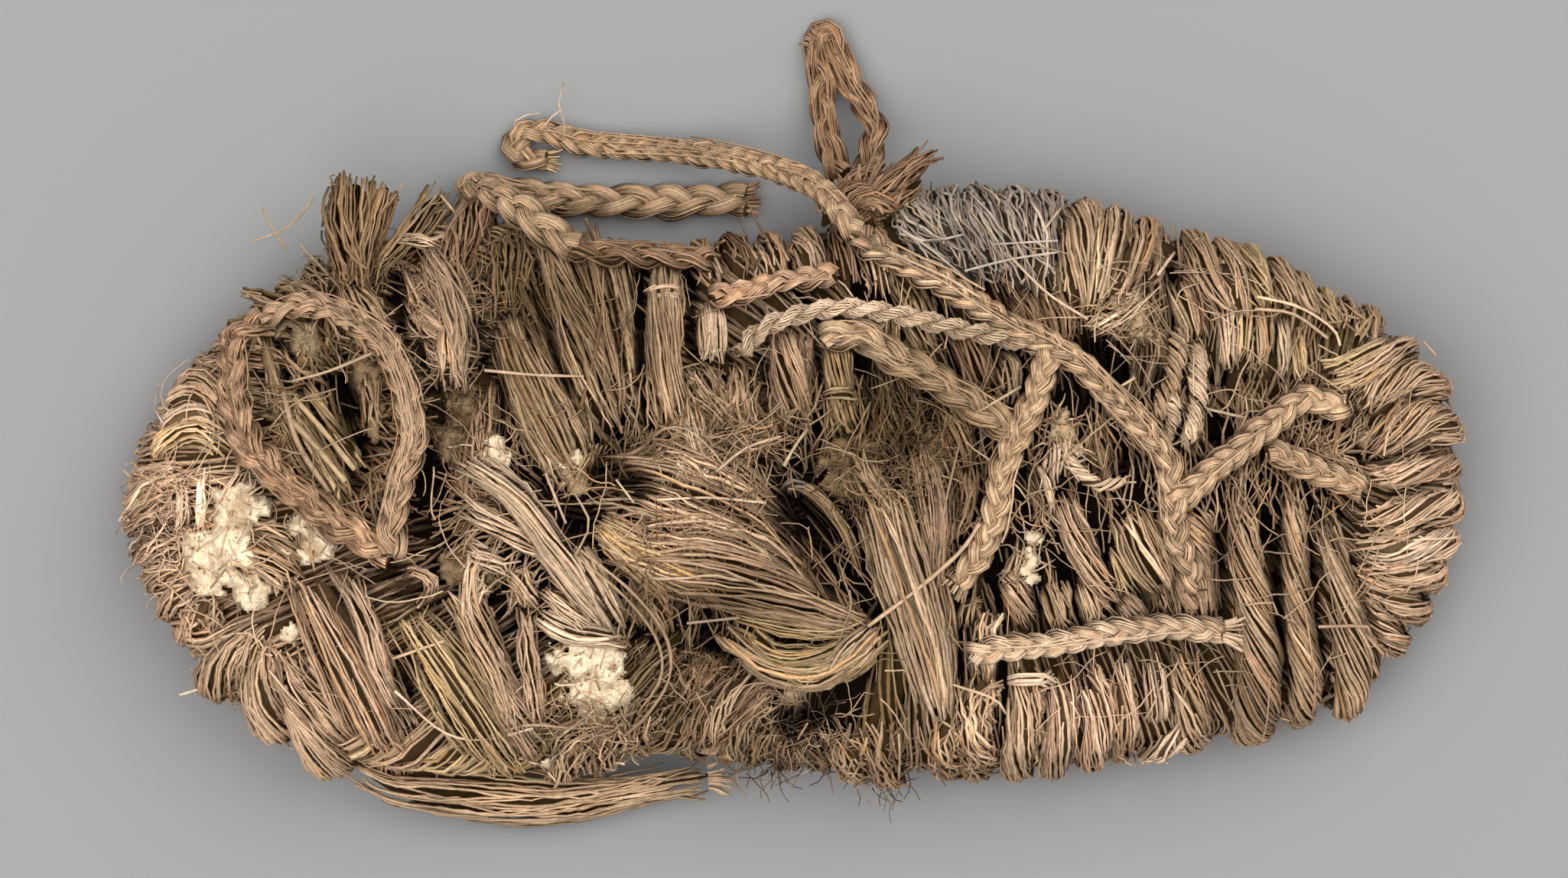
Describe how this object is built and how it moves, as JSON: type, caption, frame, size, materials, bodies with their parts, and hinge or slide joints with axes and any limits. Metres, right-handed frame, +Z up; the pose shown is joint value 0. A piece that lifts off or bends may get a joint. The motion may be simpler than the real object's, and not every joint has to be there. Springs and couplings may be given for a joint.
{
  "type": "medieval shoe",
  "caption": "Low plaited esparto grass shoe with a bundled sole, a wall of looped grass bundles, braided lacing over heel and forefoot, and loose tie ends.",
  "frame": {"origin": "centre of the shoe's plan outline without its free ties, on the floor that the sole stands on", "axes": "+X towards the toe, +Y to the left side seen from above, +Z up"},
  "size_m": [0.2623, 0.1579, 0.0595],
  "materials": {
    "sole": "dry, matt plant fibre",
    "upper": "dry, matt plant fibre",
    "forefoot_braids": "dry, matt plant fibre",
    "toe_braid": "dry, matt plant fibre",
    "side_braid": "dry, matt plant fibre",
    "lower_braid": "dry, matt plant fibre",
    "heel_braids": "dry, matt plant fibre",
    "broken_tie_root": "dry, matt plant fibre",
    "broken_tie": "dry, matt plant fibre",
    "long_tie": "dry, matt plant fibre",
    "loop_tie": "dry, matt plant fibre"
  },
  "bodies": {
    "root": {"sole": "sole", "upper": "upper", "forefoot_braids": "forefoot_braids", "toe_braid": "toe_braid", "side_braid": "side_braid", "lower_braid": "lower_braid", "heel_braids": "heel_braids", "broken_tie_root": "broken_tie_root", "broken_tie": "broken_tie", "long_tie": "long_tie", "loop_tie": "loop_tie"}
  },
  "joints": []
}
